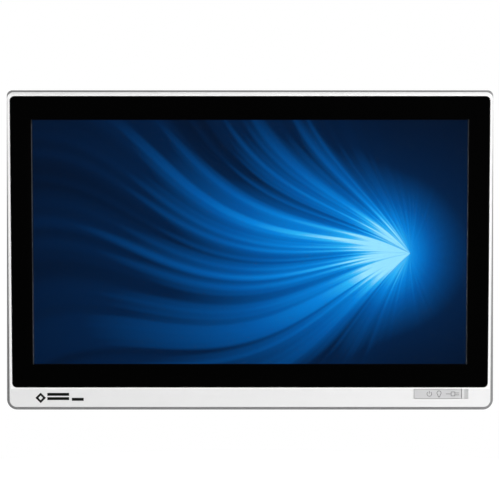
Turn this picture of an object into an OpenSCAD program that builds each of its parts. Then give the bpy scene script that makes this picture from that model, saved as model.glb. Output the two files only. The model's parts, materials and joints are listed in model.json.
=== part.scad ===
// Panel-type all-in-one PC with a 21.5 inch touch screen, held by its rear bolt pattern.
// Front faces -Y, +X is to the right seen from the front, +Z is up.
// The origin is the centre of the rear bolt pattern, on the plane of its bosses.

/* [Case] */
// Width of the white front bezel
bezel_w = 530; // [529.5:0.1:530.4]
// Height of the white front bezel
bezel_h = 345.4; // [345:0.1:346]
// Depth from the bezel's face to the rear bosses
case_d = 45; // [45:0.5:48]
// Width of the grey mid frame at its top
ring_top_w = 531.8; // [531:0.1:533]
// Width of the grey mid frame at its bottom
ring_bottom_w = 537.4; // [536:0.1:538]
// Height of the grey mid frame
ring_h = 351.5; // [351:0.5:353]
// How far the back tapers in at the left and right
taper_side = 45; // [40:1:46]
// How far the back tapers in at the top and bottom
taper_end = 35; // [33:1:36]

/* [Screen] */
// Width of the cover glass
glass_w = 524; // [523:0.1:524.2]
// Height of the cover glass
glass_h = 319.4; // [319:0.1:319.6]
// Height of the glass's centre above the origin
glass_z = 9.3; // [9:0.1:9.5]
// Width of the clear window in the black border
window_w = 478.6; // [478:0.2:479]
// Height of the clear window in the black border
window_h = 269.5; // [269:0.5:270]

/* [Control door] */
// Left end of the door's opening
door_x = 180.5; // [180:0.5:181]
// Length of the door's opening
door_l = 53.4; // [53:0.1:54]
// Height of the door's opening
door_h = 10.9; // [10.5:0.1:11]
// Height of the door's centre line
door_z = -157.6; // [-158:0.1:-157.4]
// Travel of the two push buttons
button_travel = 0.6; // [0.3:0.1:0.7]

/* [Rear bolt patterns] */
// Hole spacing of the large square pattern
vesa_large = 100; // [100]
// Hole spacing of the small square pattern
vesa_small = 75; // [75]
// Radius of the threaded holes
vesa_hole_r = 2; // [1.9:0.05:2.1]

/* [Cooling] */
// Number of fins
fin_count = 24; // [16:1:26]
// Number of blower blades
blade_count = 27; // [15:2:31]

/* [Hidden] */

gap = 0.15;                        // slip gap between fixed pieces
lip = 1.2;                         // how far the bezel's front laps over the mid frame
thin = 0.1;                        // overshoot of a cutting tool
arc_steps = 12;                    // flats in one rounded corner of an outline
sheet_t = 1;                       // pressed steel sheet
card_t = 1.2;                      // small circuit boards

// Depths, counted from the rear bosses (0) to the bezel's face
y_face = -case_d;
y_bar = y_face + 3;                // back of the bezel's bar wall
y_ledge = y_face + 5.5;            // back of the ledge behind the glass
y_skirt = y_face + 9;              // back of the bezel's skirt
y_ring = y_face + 4;               // front of the mid frame
y_shelf = y_face + 14;             // back of the mid frame's shelf
y_joint = y_face + 18;             // joint between mid frame and rear cover
y_taper = y_face + 25;             // where the back starts to taper
y_plate = y_shelf + sheet_t;       // back of the chassis plate
y_board = y_plate + 6;             // front of the main board
y_parts = y_board + 1.6;           // component side of the main board
cover_t = 2.5;                     // rear cover's wall
back_step = 0.8;                   // how far the back sits in from the mid frame

// Display module
lcd_w = 496.6;
lcd_h = 292.6;
panel_w = 484;
panel_h = 276;

// Outlines: corner circles as [x, z, radius], counter-clockwise from the bottom left
function corners(wb, wt, z0, z1, rb, rt) =
    [[-wb/2 + rb, z0 + rb, rb], [wb/2 - rb, z0 + rb, rb],
     [wt/2 - rt, z1 - rt, rt], [-wt/2 + rt, z1 - rt, rt]];
function rect(w, h, z, r) = corners(w, w, z - h/2, z + h/2, r, r);
function inset(c, t, least = 0.8) =
    [for (p = c) let(r = max(p[2] - t, least), m = t - p[2] + r)
        [p[0] - sign(p[0])*m, p[1] - sign(p[1])*m, r]];
function edge_angle(a, b) =
    atan2(b[1] - a[1], b[0] - a[0]) - acos((a[2] - b[2])/norm([b[0] - a[0], b[1] - a[1]]));
function arc_points(c, i) =
    let(n = len(c), a = c[(i + n - 1) % n], b = c[i], d = c[(i + 1) % n],
        s = edge_angle(a, b), e = edge_angle(b, d), span = e < s ? e - s + 360 : e - s)
    [for (k = [0:arc_steps]) let(t = s + span*k/arc_steps) [b[0] + b[2]*cos(t), b[1] + b[2]*sin(t)]];
function outline(c) = [for (i = [0:len(c) - 1]) each arc_points(c, i)];

bezel_z = 0.6;                     // height of the bezel's centre
bezel_line = corners(bezel_w, bezel_w, bezel_z - bezel_h/2, bezel_z + bezel_h/2, 7.8, 7.5);
ring_line = corners(ring_bottom_w, ring_top_w, -ring_h/2, ring_h/2, 11.4, 6.2);
glass_line = rect(glass_w, glass_h, glass_z, 5);
glass_seat = inset(glass_line, -0.3);
ledge_line = rect(glass_w - 22.6, glass_h - 22.6, glass_z, 4);
window_line = rect(window_w, window_h, glass_z, 0.8);
lcd_line = rect(lcd_w, lcd_h, glass_z, 2);
shelf_line = rect(lcd_w + 3.8, lcd_h + 3.8, glass_z, 3);
back_line = inset(ring_line, back_step);
bar_top = glass_z - glass_h/2 - 0.45;       // top of the bar's hollow
bar_bottom = bezel_z - bezel_h/2 + 2.2;     // bottom of the bar's hollow
skirt_w = bezel_w - 5.6;                    // hollow of the bezel's skirt
skirt_line = corners(skirt_w, skirt_w, bar_bottom, bezel_z + bezel_h/2 - 4, 7, 4);

// Places of the case screws and of the chassis screws, as [x, z]
case_side_x = 257;
case_end_x = 150;
case_points = [for (s = [-1, 1]) each [[s*case_side_x, 115], [s*case_side_x, -5], [s*case_side_x, -120],
                                       [s*case_end_x, 165], [s*case_end_x, -161]]];
chassis_points = [for (x = [-256.5, 256.5], z = [60, -62]) [x, z]];

// Cable bay in the rear cover
bay_x = 120;                       // half its width
bay_top = -127.5;                  // underside of the connector bracket's wall
bay_floor = y_joint + 5;           // its front wall's rear face
port_z = -126.6;                   // plane of the connectors' mouths
wall_z = -126.4;                   // lower face of the connector bracket

// Connectors' centres along the bracket
dc_x = -88;
hdmi_x = -67;
display_x = -46;
usb_xs = [-24, -6];
lan_xs = [14, 33];
serial_x = 60;
audio_xs = [87, 99];

// Drive bay
drive_x = 183;                     // centre of the drive and of its hatch
drive_z = -10;
hatch_w = 74;
hatch_h = 108;
hatch_screw_zs = [drive_z - hatch_h/2 + 8, drive_z + hatch_h/2 - 8];

// Blower
fan_x = 4;
fan_z = 92;
fan_r = 29;
fan_y0 = -26;                      // front of the housing
fan_y1 = -13;                      // rear of the housing
shaft_r = 1;

// Heat pipes
pipe_y = -17;
pipe_r = 2.5;
pipe_bend_r = 10;
pipe_low_zs = [-34, -46];          // heights on the cold plate
pipe_high_zs = [138.5, 144.5];     // heights in the fins

// Main board
board_x = 100;                     // half its width
board_z0 = -122;
board_z1 = 38;
board_holes = [for (x = [-94, 94], z = [-98, 32]) [x, z]];

// Control recess behind the door
door_x1 = door_x + door_l;
door_z0 = door_z - door_h/2;
door_z1 = door_z + door_h/2;
pin_x = door_x + 2.7;
pin_y = y_face + 1.6;
pin_r = 0.6;
pin_end = 1.4;                     // how far the pin's holes run past the opening
pocket_floor = y_face + 8.5;       // front of the pocket's floor
power_x = 197.7;
backlight_x = 208.4;
usb_x = 223.2;
io_board_y = -22.5;                // front of the small board behind the pocket

// ---------- shapes ----------

// An outline in X and Z, from depth y0 to y1
module slab(c, y0, y1)
    translate([0, y1, 0]) rotate([90, 0, 0]) linear_extrude(y1 - y0) polygon(outline(c));

// A box from its low to its high corner
module box(x0, x1, y0, y1, z0, z1) translate([x0, y0, z0]) cube([x1 - x0, y1 - y0, z1 - z0]);

// A rod along each axis
module rod_x(x0, x1, y, z, r)
    translate([x0, y, z]) rotate([0, 90, 0]) cylinder(r = r, h = x1 - x0, $fn = 32);
module rod_y(x, z, y0, y1, r)
    translate([x, y1, z]) rotate([90, 0, 0]) cylinder(r = r, h = y1 - y0, $fn = 32);
module rod_z(x, y, z0, z1, r)
    translate([x, y, z0]) cylinder(r = r, h = z1 - z0, $fn = 32);

// A profile in Y and Z, drawn as [y, z] points, from x0 to x1
module prism_x(p, x0, x1)
    translate([x0, 0, 0]) rotate([90, 0, 90]) linear_extrude(x1 - x0) polygon(p);

// A slot with round ends along X or along Z, cut through from y0 to y1
module slot_x(x, z, l, w, y0, y1) {
    box(x - l/2 + w/2, x + l/2 - w/2, y0, y1, z - w/2, z + w/2);
    for (s = [-1, 1]) rod_y(x + s*(l/2 - w/2), z, y0, y1, w/2);
}
module slot_z(x, z, l, w, y0, y1) {
    box(x - w/2, x + w/2, y0, y1, z - l/2 + w/2, z + l/2 - w/2);
    for (s = [-1, 1]) rod_y(x, z + s*(l/2 - w/2), y0, y1, w/2);
}

// A machine screw along Y, its head's rear face at y1
module screw_y(x, z, y1, head_h, head_r, shank_r, length) {
    difference() {
        rod_y(x, z, y1 - head_h, y1, head_r);
        for (a = [0, 90]) translate([x, y1, z]) rotate([0, a, 0])
            cube([head_r*1.1, head_h, 0.6], center = true);
    }
    rod_y(x, z, y1 - head_h - length, y1 - head_h + thin, shank_r);
}

// ---------- front ----------

module front_bezel() color("whitesmoke") difference() {
    union() {
        difference() {
            union() {
                slab(bezel_line, y_face, y_ring);
                slab(inset(bezel_line, lip), y_face + 1, y_skirt);
            }
            slab(skirt_line, y_ledge, y_skirt + thin);
            box(6 - skirt_w/2, skirt_w/2 - 6, y_bar, y_skirt + thin, bar_bottom, bar_top);
        }
        for (p = case_points) rod_y(p[0], p[1], y_bar - thin, y_skirt, 3.4);
    }
    slab(glass_seat, y_face - thin, y_bar);
    slab(ledge_line, y_face - thin, y_skirt + thin);
    for (p = case_points) rod_y(p[0], p[1], y_bar + 1, y_skirt + thin, 1.25);
    box(door_x, door_x1, y_face - thin, y_skirt, door_z0, door_z1);
    rod_z(pin_x, pin_y, door_z0 - pin_end, door_z1 + pin_end, pin_r + 0.02);
    finger_scoop();
}

// Ramp beside the door's free end, for a fingernail
module finger_scoop() {
    y = y_face + 2.1;
    translate([door_x1, 0, door_z0]) linear_extrude(door_h)
        polygon([[-1, y_face - thin], [-1, y], [2.6, y], [6.9, y_face - thin]]);
}

module mid_frame() color("slategray") difference() {
    union() {
        difference() {
            slab(ring_line, y_ring, y_joint);
            slab(inset(bezel_line, lip - gap), y_ring - thin, y_skirt);
            slab(inset(ring_line, 2.6), y_shelf, y_joint + thin);
        }
        for (p = case_points) rod_y(p[0], p[1], y_shelf - thin, y_joint + 0.7, 3.6);
    }
    slab(shelf_line, y_skirt - thin, y_shelf + thin);
    for (p = case_points) rod_y(p[0], p[1], y_skirt - thin, y_joint + 1, 1.7);
    for (p = chassis_points) rod_y(p[0], p[1], y_skirt - thin, y_shelf + thin, 1.6);
    box(door_x - 3.5, door_x1 + 3.5, y_skirt - thin, y_shelf + thin, door_z - 8.5, door_z + 8.5);
}

module cover_glass() color("lightcyan", 0.4) slab(glass_line, y_face + 0.2, y_face + 2);

module black_border() color("black") difference() {
    slab(inset(glass_line, 0.2), y_face + 2, y_face + 2.2);
    slab(window_line, y_face + 2 - thin, y_face + 2.2 + thin);
}

module touch_sensor() color("powderblue", 0.4) {
    slab(inset(window_line, 0.1, 0.7), y_face + 2, y_face + 2.3);
    slab(rect(492, 284, glass_z, 2), y_face + 2.2, y_face + 2.9);
}

module glass_tape() color("dimgray") difference() {
    slab(inset(glass_line, 0.8), y_face + 2.2, y_bar);
    slab(rect(glass_w - 20, glass_h - 20, glass_z, 3), y_face + 2, y_bar + thin);
}

module name_mark() color("black") {
    ink = 0.12;
    mark_z = -162;
    translate([-230.8, y_face, mark_z]) rotate([90, 0, 0]) linear_extrude(ink) rotate(45) difference() {
        square(8.2, center = true);
        square(3.6, center = true);
    }
    // Bars as [left end, length, lower edge above the diamond's centre]
    for (bar = [[-223.4, 24, 2.3], [-223.4, 24, -2.4], [-196.4, 13, -3.2]])
        translate([bar[0], y_face - ink, mark_z + bar[2]]) cube([bar[1], ink, 3.2]);
}

// ---------- display module ----------

module lcd_frame() color("silver") difference() {
    slab(lcd_line, y_face + 3.2, y_face + 10);
    slab(inset(lcd_line, 0.6), y_face + 3.7, y_face + 10 + thin);
    slab(rect(window_w - 1.8, window_h + 1.4, glass_z, 0.8), y_face + 3, y_face + 4);
}

module lcd_panel() color("midnightblue")
    slab(rect(panel_w, panel_h, glass_z, 1), y_face + 3.75, y_face + 5.15);

module lcd_carrier() color("gainsboro") difference() {
    slab(rect(lcd_w - 2.8, lcd_h - 2.8, glass_z, 1.6), y_face + 3.75, y_face + 9.3);
    slab(rect(panel_w + 0.4, panel_h + 0.4, glass_z, 1), y_face + 3, y_face + 10);
}

module light_guide() color("white") {
    slab(rect(panel_w - 2, panel_h - 2, glass_z, 1), y_face + 5.2, y_face + 5.8);
    slab(rect(panel_w - 2, panel_h - 5, glass_z + 1.5, 1), y_face + 5.7, y_face + 8.9);
}

module led_bar() color("khaki") {
    z = glass_z - panel_h/2 - 0.1;
    pitch = 8;
    box(-240, 240, y_face + 6, y_face + 9, z, z + 0.8);
    for (i = [-29:29]) box(i*pitch - 2, i*pitch + 2, y_face + 6.6, y_face + 8.4, z + 0.8, z + 1.5);
}

module lcd_tray() color("lightgray") difference() {
    slab(rect(lcd_w - 1.4, lcd_h - 1.4, glass_z, 1.8), y_face + 9.3, y_face + 10);
    for (x = [-160:80:160]) slot_x(x, -60, 40, 6, y_face + 9, y_face + 11);
}

// The two boards on the tray's back share one depth
y_card = y_face + 10.3 + card_t;

module timing_board() color("darkgreen") {
    box(-110, 110, y_card - card_t, y_card, -128, -100);
    for (x = [-70, -20, 40]) box(x, x + 12, y_card, y_card + 1, -120, -108);
    box(80, 102, y_card, y_card + 1.5, -112, -106);
}

module touch_board() color("seagreen") {
    box(125, 185, y_card - card_t, y_card, -128, -104);
    box(140, 150, y_card, y_card + 1, -121, -111);
    box(162, 178, y_card, y_card + 1.5, -110, -106);
}

// ---------- control recess ----------

module access_door() color("silver") {
    slit = 0.45;
    z0 = door_z0 + slit;
    z1 = door_z1 - slit;
    x0 = door_x + 0.6;
    x1 = door_x1 - 1;
    difference() {
        union() {
            box(x0, x1, y_face, y_face + 1.8, z0, z1);
            rod_z(pin_x, pin_y, z0, z1, 1.6);
        }
        rod_z(pin_x, pin_y, z0 - thin, z1 + thin, pin_r + 0.05);
    }
    box(x1 - 3.4, x1 - 2.2, y_face + 1.7, y_face + 4, door_z - 2.5, door_z + 2.5);
}

module door_pin() color("lightsteelblue")
    rod_z(pin_x, pin_y, door_z0 - pin_end + thin, door_z1 + pin_end - thin, pin_r);

module control_pocket() color("lightgray") difference() {
    wall = 1.2;
    pocket_back = pocket_floor + 1.5;
    box(door_x - wall, door_x1 + wall, y_bar, pocket_back, door_z0 - wall, door_z1 + wall);
    box(door_x, door_x1, y_bar - thin, pocket_floor, door_z0, door_z1);
    for (x = [power_x, backlight_x]) rod_y(x, door_z, pocket_floor - thin, pocket_back + thin, 3.1);
    box(usb_x - 7, usb_x + 7, pocket_floor - thin, pocket_back + thin, door_z - 3.4, door_z + 3.4);
}

// A push button: cap through the pocket's floor, flange behind it, stem to its switch
module push_button(x) {
    rod_y(x, door_z, pocket_floor - 1.6, pocket_floor + 1.8, 3);
    rod_y(x, door_z, pocket_floor + 1.6, pocket_floor + 2.4, 4);
    rod_y(x, door_z, pocket_floor + 2.3, io_board_y - 4.6 - button_travel, 1.2);
}
module power_button() color("gray") push_button(power_x);
module backlight_button() color("gray") push_button(backlight_x);

module tact_switches() color("dimgray") for (x = [power_x, backlight_x]) {
    box(x - 3, x + 3, io_board_y - 3.6, io_board_y, door_z - 3, door_z + 3);
    rod_y(x, door_z, io_board_y - 4.5, io_board_y - 3.5, 1.6);
}

// USB socket along Y: steel shell with a tongue
module front_usb_port() color("silver") {
    difference() {
        box(usb_x - 6.8, usb_x + 6.8, pocket_floor - 0.5, io_board_y, door_z - 3.2, door_z + 3.2);
        box(usb_x - 6.3, usb_x + 6.3, pocket_floor - 1, pocket_floor + 11, door_z - 2.7, door_z + 2.7);
    }
    box(usb_x - 5.6, usb_x + 5.6, pocket_floor + 1.6, pocket_floor + 12, door_z + 0.1, door_z + 1.9);
}

module front_io_board() color("darkgreen") {
    box(188, 236, io_board_y, io_board_y + card_t, door_z - 7, door_z + 7);
    box(190, 200, io_board_y + card_t, io_board_y + 4, door_z - 2, door_z + 7);
}

// ---------- rear housing ----------

// Half of the back's profile drawn in by t, as [half width, y]: at the joint, knee and rear
function back_half(half, run, t) =
    let(rise = -y_taper, slope = norm([run, rise]))
    [[half + back_step - t, y_joint - 1], [half - t, y_taper - t*(slope - rise)/run],
     [half - run - t*(slope - run)/rise, -t]];
function both_halves(p) =
    concat([for (q = p) [-q[0], q[1]]], [for (i = [len(p) - 1:-1:0]) p[i]]);
back_end = ring_h/2 - back_step;
back_side = ring_bottom_w/2 - back_step;

// The back's outer form, and with t its hollow
module back_form(t) intersection() {
    slab(inset(back_line, t), y_joint, -t);
    prism_x([for (q = both_halves(back_half(back_end, taper_end, t))) [q[1], q[0]]],
            -ring_bottom_w, ring_bottom_w);
    translate([0, 0, -ring_h]) linear_extrude(2*ring_h)
        polygon(both_halves(back_half(back_side, taper_side, t)));
}

// A box over the drive hatch, larger than the hatch's opening by g on every side
module hatch_box(g, y0, y1) translate([drive_x, 0, drive_z])
    box(-hatch_w/2 - g, hatch_w/2 + g, y0, y1, -hatch_h/2 - g, hatch_h/2 + g);

module rear_cover() color("gainsboro") difference() {
    union() {
        difference() {
            back_form(0);
            translate([0, -thin, 0]) back_form(cover_t);
        }
        intersection() {
            union() {
                for (p = case_points) rod_y(p[0], p[1], y_joint + 1, 0, 6);
                box(-bay_x - 2, bay_x + 2, bay_floor - 2, 0, -ring_h/2, bay_top + 2.6);
                hatch_box(3, -5, 0);
            }
            back_form(0);
        }
    }
    for (p = case_points) {
        rod_y(p[0], p[1], y_joint + 2.6, 1, 3.6);
        rod_y(p[0], p[1], y_joint, y_joint + 3, 1.7);
    }
    box(-bay_x, bay_x, bay_floor, 1, -ring_h/2 - 1, bay_top);
    box(-bay_x, bay_x, bay_floor, -cover_t, bay_top - 1, bay_top + 3);
    box(-bay_x, bay_x, y_joint, -cover_t, port_z - thin, bay_top + 3);
    hatch_opening();
    for (s = [vesa_large, vesa_small], x = [-1, 1], z = [-1, 1])
        rod_y(x*s/2, z*s/2, -cover_t - thin, 1, 5.4);
    slab(rect(vesa_large + 15, vesa_large + 15, 0, 6), -0.6, 1);
    vents();
    lock_slot();
}

// Opening for the drive, with a rim for the hatch and a screw lug at each end
module hatch_opening() {
    hatch_box(0, -cover_t, 1);
    difference() {
        hatch_box(-3, -6, 0);
        for (z = hatch_screw_zs) box(drive_x - 6, drive_x + 6, -7, -cover_t, z - 6, z + 6);
    }
    for (z = hatch_screw_zs) rod_y(drive_x, z, -6, 0, 1.55);
}

// Slot for a security lock in the side wall, 7 by 3 mm
module lock_slot()
    box(ring_bottom_w/2 - 10, ring_bottom_w/2, y_joint + 2, y_joint + 5, -103.5, -96.5);

// Intake slots over the blower, outlet slots in the top taper, sound slots in the bottom taper
module vents() {
    for (i = [-5:5], x = [-31, 31]) slot_x(x + fan_x, fan_z + i*6.4, 54, 2.6, -6, 1);
    for (i = [-17:17]) slot_z(i*6.4, 157, 15, 2.6, y_taper, 0);
    for (i = [-5:5], s = [-1, 1]) slot_z(s*172 + i*5.6, -152, 9, 2.2, y_taper + 2, 0);
}

// Three shallow grooves for a thumb, centred at x and z
module grip(x, z) {
    length = 30;
    depth = 0.8;
    pitch = 2.6;
    for (i = [-1:1]) box(x - length/2, x + length/2, -depth, 1, z + i*pitch - 0.6, z + i*pitch + 0.6);
}

// Lid over the cable bay: flat at the top, then sloping with the back's taper
module cable_cover() color("gainsboro") {
    w = bay_x - 0.5;
    wall = 2.2;
    slope = -y_taper/taper_end;
    lean = norm([1, slope]);
    z_knee = taper_end - back_end;
    z_low = -163;
    y_low = -(z_knee - z_low)*slope;
    z_top = bay_top - 0.4;
    difference() {
        prism_x([[0, z_top], [0, z_knee], [y_low, z_low],
                 [y_low - wall*lean, z_low], [-wall, z_knee + wall*(lean - 1)/slope], [-wall, z_top]], -w, w);
        for (x = [-70, 70]) grip(x, (z_knee + z_top)/2);
    }
    for (s = [-1, 1]) translate([s*(w - 1), 0, 0])
        prism_x([[-1, z_top], [-1, z_knee], [y_low - 1, z_low],
                 [bay_floor + 1, z_low], [bay_floor + 1, z_top]], -1, 1);
    for (x = [-80, 0, 80]) box(x - 0.8, x + 0.8, -6, -1, z_knee, z_top);
}

module drive_hatch() color("gainsboro") difference() {
    union() {
        hatch_box(-0.3, thin - cover_t, 0);
        for (x = [-20, 0, 20]) translate([drive_x + x, 0, drive_z]) box(-0.8, 0.8, -5, -1, -34, 34);
    }
    for (z = hatch_screw_zs) {
        rod_y(drive_x, z, -1.5, 1, 4.4);
        rod_y(drive_x, z, -4, 1, 1.7);
    }
    grip(drive_x, drive_z);
}

module hatch_screws() color("silver")
    for (z = hatch_screw_zs) screw_y(drive_x, z, -0.1, 1.3, 4, 1.45, 5);

module case_screws() color("dimgray")
    for (p = case_points) screw_y(p[0], p[1], y_joint + 4.7, 2, 2.9, 1.2, 14);

// ---------- structure ----------

module chassis_plate() color("lightsteelblue") difference() {
    union() {
        slab(corners(506, 506, -142, 160.5, 3, 3), y_shelf, y_plate);
        for (p = chassis_points) {
            translate([p[0] - sign(p[0])*2.5, 0, p[1]]) box(-2.5, 2.5, y_shelf, y_plate, -6, 6);
            rod_y(p[0], p[1], y_shelf, y_plate, 4.5);
        }
        for (x = [-155, 155]) box(x - 45, x + 45, y_plate - 0.5, y_plate + 8, 110, 110 + sheet_t);
    }
    for (p = chassis_points) rod_y(p[0], p[1], y_shelf - 1, y_plate + 1, 1.7);
    // Passages for the display cable and the backlight's cable
    box(-74, -48, y_shelf - 1, y_plate + 1, 50, 56);
    box(84, 106, y_shelf - 1, y_plate + 1, -139, -131);
    for (x = [-225, -195, -165, -135, 228], z = [-90:30:90]) rod_y(x, z, y_shelf - 1, y_plate + 1, 5);
}

module chassis_screws() color("dimgray")
    for (p = chassis_points) screw_y(p[0], p[1], y_plate + 1.6, 1.6, 3, 1.5, 5);

// Steel bridge over the main board that carries the rear bosses
module vesa_bridge() color("lightsteelblue") difference() {
    foot_x = 133;
    top_y = -2.6;
    union() {
        box(-foot_x - 1, foot_x + 1, top_y - 2, top_y, -60, 60);
        for (s = [-1, 1]) {
            translate([s*foot_x, 0, 0]) box(-1, 1, y_plate, top_y, -60, 60);
            translate([s*(foot_x + 4.5), 0, 0]) box(-4.5, 4.5, y_plate, y_plate + 2, -60, 60);
        }
        for (s = [vesa_large, vesa_small], x = [-1, 1], z = [-1, 1]) rod_y(x*s/2, z*s/2, top_y - 0.4, 0, 4.9);
    }
    for (s = [vesa_large, vesa_small], x = [-1, 1], z = [-1, 1]) rod_y(x*s/2, z*s/2, -5, 1, vesa_hole_r);
    for (x = [-105, 105], z = [-30, 30]) rod_y(x, z, -6, 0, 8);
    rod_y(0, 0, -6, 0, 14);
}

// ---------- main board ----------

module mainboard() color("darkgreen") difference() {
    box(-board_x, board_x, y_board, y_parts, board_z0, board_z1);
    for (p = board_holes) rod_y(p[0], p[1], y_board - 1, y_parts + 1, 1.8);
}

module board_standoffs() color("goldenrod") for (p = board_holes) {
    rod_y(p[0], p[1], y_plate, y_board, 3);
    rod_y(p[0], p[1], y_board - thin, y_parts + thin, 1.6);
    rod_y(p[0], p[1], y_parts, y_parts + 1.8, 3);
}

// What is soldered to the main board
module board_parts() color("dimgray") {
    part(-59, 38, -59, 38, 2);                               // processor
    part(30, 18, -16, 18, 1.4);                              // chip set
    for (i = [0:4]) part(-62 + i*9.5, 8, -76, 8, 5);         // chokes
    for (i = [0:4]) rod_y(-58 + i*9, -84, y_parts, y_parts + 6, 3);
    for (i = [0:3]) rod_y(-54 + i*9, -12, y_parts, y_parts + 6, 3);
    part(-69, 16, 30, 5, 3);                                 // display cable's socket
    part(85, 14, -88, 10, 4);                                // drive cable's socket
    part(85, 14, -112, 8, 4);                                // front panel's socket
    part(70, 14, 26, 7, 4);                                  // fan's socket
    part(-10, 30, 28, 6, 4);                                 // power header
    part(-97, 5, -60, 60, 3);                                // heat spreader of the regulators
}

// A part on the main board, from its left and lower edges
module part(x, w, z, h, t) box(x, x + w, y_parts, y_parts + t, z, z + h);

memory_zs = [-60, -22];

module memory_sockets() color("black") for (z = memory_zs) difference() {
    box(12, 86, y_parts, y_parts + 5.2, z, z + 6);
    box(15, 83, y_parts + 2, y_parts + 4, z + 2.5, z + 7);
}

module memory_modules() color("green") for (z = memory_zs) {
    box(15.2, 82.8, y_parts + 2.4, y_parts + 3.6, z + 2.7, z + 32);
    for (i = [0:3]) box(18 + i*16.5, 30 + i*16.5, y_parts + 3.5, y_parts + 4.6, z + 12, z + 24);
}

module wifi_card() color("seagreen") {
    box(-18, 4, y_parts + 1.5, y_parts + 2.4, 0, 24);
    box(-16, 2, y_parts + 2.3, y_parts + 4, 2, 16);
    box(-18, 4, y_parts, y_parts + 4, -5, -0.1);
}

module coin_cell() color("silver") {
    rod_y(50, 25, y_parts + 1.5, y_parts + 4.7, 10);
    rod_y(50, 25, y_parts, y_parts + 1.5, 8);
}

// ---------- cooling ----------

module cold_plate() color("peru") difference() {
    box(-62, -18, y_parts + 2, pipe_y + 4, -62, -18);
    for (z = pipe_low_zs) rod_x(-63, -17, pipe_y, z, pipe_r + 0.04);
}

// A heat pipe: along the cold plate, up beside the blower and back through the fins
module heat_pipe(z_low, x_turn, z_high) {
    rod_x(x_turn, -20, pipe_y, z_low, pipe_r);
    pipe_bend(x_turn, z_low + pipe_bend_r, 180);
    rod_z(x_turn - pipe_bend_r, pipe_y, z_low + pipe_bend_r, z_high - pipe_bend_r, pipe_r);
    pipe_bend(x_turn, z_high - pipe_bend_r, 90);
    rod_x(x_turn, 44, pipe_y, z_high, pipe_r);
}

// A quarter turn of a heat pipe about [x, z], starting at an angle
module pipe_bend(x, z, from)
    translate([x, pipe_y, z]) rotate([0, -from, 0]) rotate([90, 0, 0])
        rotate_extrude(angle = 90, $fn = 64) translate([pipe_bend_r, 0]) circle(pipe_r, $fn = 32);

module heat_pipes() color("chocolate")
    for (i = [0, 1]) heat_pipe(pipe_low_zs[i], -66 - 12*i, pipe_high_zs[i]);

module fin_stack() color("lightgray") for (i = [0:fin_count - 1]) translate([i*3.2 - 36, 0, 0]) difference() {
    box(0, 0.5, -25, -10.6, 134.5, 148.5);
    for (z = pipe_high_zs) rod_x(-1, 2, pipe_y, z, pipe_r + 0.04);
}

// Scroll case: round about the rotor and open at the top towards the fins
module blower_housing() color("dimgray") difference() {
    wall = 1;
    box(fan_x - 39, fan_x + 39, fan_y0, fan_y1, fan_z - 36, fan_z + 41);
    rod_y(fan_x, fan_z, fan_y0 + wall, fan_y1 - wall, fan_r + 4);
    box(fan_x - 37.5, fan_x + fan_r + 4, fan_y0 + wall, fan_y1 - wall, fan_z, fan_z + 42);
    rod_y(fan_x, fan_z, fan_y1 - 2*wall, fan_y1 + wall, 23);
}

module blower_bearing() color("goldenrod") difference() {
    rod_y(fan_x, fan_z, fan_y0 + 1, fan_y0 + 7.5, 2.6);
    rod_y(fan_x, fan_z, fan_y0 + 1.5, fan_y0 + 8, shaft_r + 0.05);
}

module blower_rotor() color("black") {
    difference() {
        rod_y(fan_x, fan_z, fan_y0 + 2, fan_y1 - 2, 13);
        rod_y(fan_x, fan_z, fan_y0 + 1, fan_y1 - 3.2, 11.6);
    }
    rod_y(fan_x, fan_z, fan_y0 + 2, fan_y1 - 3, shaft_r);
    difference() {
        rod_y(fan_x, fan_z, fan_y0 + 2, fan_y0 + 2.8, fan_r);
        rod_y(fan_x, fan_z, fan_y0 + 1, fan_y0 + 4, 12);
    }
    for (i = [0:blade_count - 1]) translate([fan_x, 0, fan_z]) rotate([0, i*360/blade_count, 0])
        translate([fan_r - 5, 0, 0]) rotate([0, 35, 0])
            box(-4.4, 4.4, fan_y0 + 2.5, fan_y1 - 2.5, -0.35, 0.35);
}

// ---------- storage, sound, radio ----------

// Open tray under the drive, with a lip along each side and four feet
module drive_bracket() color("lightsteelblue") {
    half = 35.6;
    y0 = -21.6;
    translate([drive_x, 0, drive_z]) {
        difference() {
            box(-half, half, y0, y0 + sheet_t, -48, 48);
            box(15 - half, half - 15, y0 - 1, y0 + 2, -36, 36);
        }
        for (x = [-half, half - sheet_t]) box(x, x + sheet_t, y0, -14, -48, 48);
        for (x = [6 - half, half - 6], z = [-40, 40]) rod_y(x, z, y_plate, y0 + thin, 3);
    }
}

module solid_state_drive() color("slategray") {
    box(drive_x - 34.4, drive_x + 34.4, -20.5, -13.6, drive_z - 49.5, drive_z + 49.5);
    box(drive_x - 20, drive_x + 14, -19, -15.5, drive_z - 52, drive_z - 49);
}

module speaker() {
    difference() {
        box(-34, 34, y_plate + 1, -14, -148, -128);
        rod_z(-16, -21, -149, -145, 7);
    }
    rod_z(-16, -21, -147.6, -144, 5.6);
    for (s = [-1, 1]) translate([s*36, 0, 0]) box(-3, 3, y_plate, y_plate + 2.5, -142, -134);
}
module left_speaker() color("black") translate([-172, 0, 0]) speaker();
module right_speaker() color("black") translate([172, 0, 0]) speaker();

module antennas() color("goldenrod") for (s = [-1, 1])
    translate([s*190, 0, 0]) box(-22, 22, y_plate + 2, y_plate + 2.8, 136, 148);

// ---------- rear connectors ----------

// A connector shell on the main board with its mouth at port_z
module shell(x, w, h, depth, wall = 0.4) translate([x, y_parts, port_z]) difference() {
    box(-w/2, w/2, 0, h, 0, depth);
    box(wall - w/2, w/2 - wall, wall, h - wall, -thin, depth - 3);
}

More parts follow.
